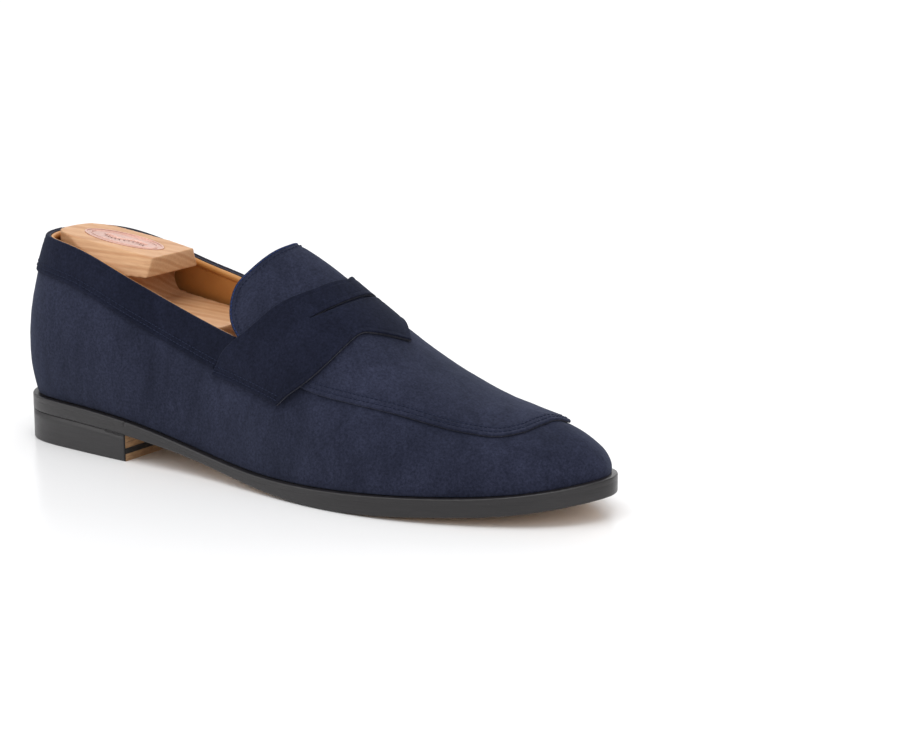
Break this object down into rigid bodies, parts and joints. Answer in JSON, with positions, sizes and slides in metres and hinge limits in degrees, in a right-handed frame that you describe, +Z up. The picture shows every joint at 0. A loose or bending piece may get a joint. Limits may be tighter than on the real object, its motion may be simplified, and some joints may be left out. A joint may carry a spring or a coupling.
{
  "type": "loafer shoe",
  "caption": "Right penny loafer in navy suede with strap and leather sole, fitted with a sprung cedar shoe tree",
  "frame": {"origin": "on the ground, at the bottom centre of the whole shoe", "axes": "+X from heel to toe, +Z up, +Y to the inner side of the foot, so the outer side faces -Y"},
  "size_m": [0.3004, 0.0989, 0.0998],
  "materials": {
    "cedar": "sanded cedar with fine grain",
    "cork": "granulated cork",
    "cushion_foam": "soft foam",
    "dark_navy_suede": "darker brushed navy suede nap",
    "heel_leather": "stacked tan leather, black waxed outside",
    "heel_rubber": "fine ribbed black rubber",
    "insole_board": "flat insole leather",
    "lining_fabric": "woven cotton drill",
    "lining_leather": "smooth tan lining leather",
    "nail_brass": "small flat heads",
    "navy_suede": "brushed navy suede nap",
    "plate_copper": "satin with a raised rim",
    "shank_steel": "ribbed strip",
    "sole_leather": "tan tread, black waxed edge",
    "stiffener_board": "fibreboard",
    "tree_aluminium": "drawn tube",
    "tree_steel": "bright drawn wire and rod",
    "welt_leather": "black stained and waxed edge"
  },
  "bodies": {
    "shoe": {"apron": "navy_suede", "apron_lining": "lining_leather", "collar_band": "dark_navy_suede", "cork_filler": "cork", "heel_counter": "stiffener_board", "heel_cushion": "cushion_foam", "heel_lift_lower": "heel_leather", "heel_lift_upper": "heel_leather", "heel_nails": "nail_brass", "heel_rand": "welt_leather", "heel_rubber_layer": "heel_rubber", "insole_board": "insole_board", "outsole": "sole_leather", "penny_strap": "dark_navy_suede", "quarter_lining_lateral": "lining_leather", "quarter_lining_medial": "lining_leather", "side_panel": "navy_suede", "side_stiffener_lateral": "stiffener_board", "side_stiffener_medial": "stiffener_board", "sock_lining": "lining_leather", "steel_shank": "shank_steel", "toe_puff": "stiffener_board", "top_piece_leather": "heel_leather", "top_piece_rubber": "heel_rubber", "tree_bridge_block": "cedar", "tree_cross_pins": "tree_steel", "tree_cross_springs": "tree_steel", "tree_forefoot_medial": "cedar", "tree_springs": "tree_steel", "tree_tubes": "tree_aluminium", "vamp_lining": "lining_fabric", "welt": "welt_leather"},
    "tree_heel": {"tree_heel_block": "cedar", "tree_plate": "plate_copper", "plate_pins": "plate_copper", "tree_rods": "tree_steel"},
    "tree_toe_half": {"tree_forefoot_lateral": "cedar"}
  },
  "joints": [
    {"name": "tree_heel_press", "type": "slide", "parent": "shoe", "child": "tree_heel", "axis": [1, 0, 0], "range_m": [0, 0.006], "stiffness_N_per_m": 1500, "springref_m": -0.01, "deforming": ["tree_springs"]},
    {"name": "tree_toe_spread", "type": "slide", "parent": "shoe", "child": "tree_toe_half", "axis": [0, 1, 0], "range_m": [0, 0.003], "stiffness_N_per_m": 3000, "springref_m": -0.002, "deforming": ["tree_cross_springs"]}
  ]
}
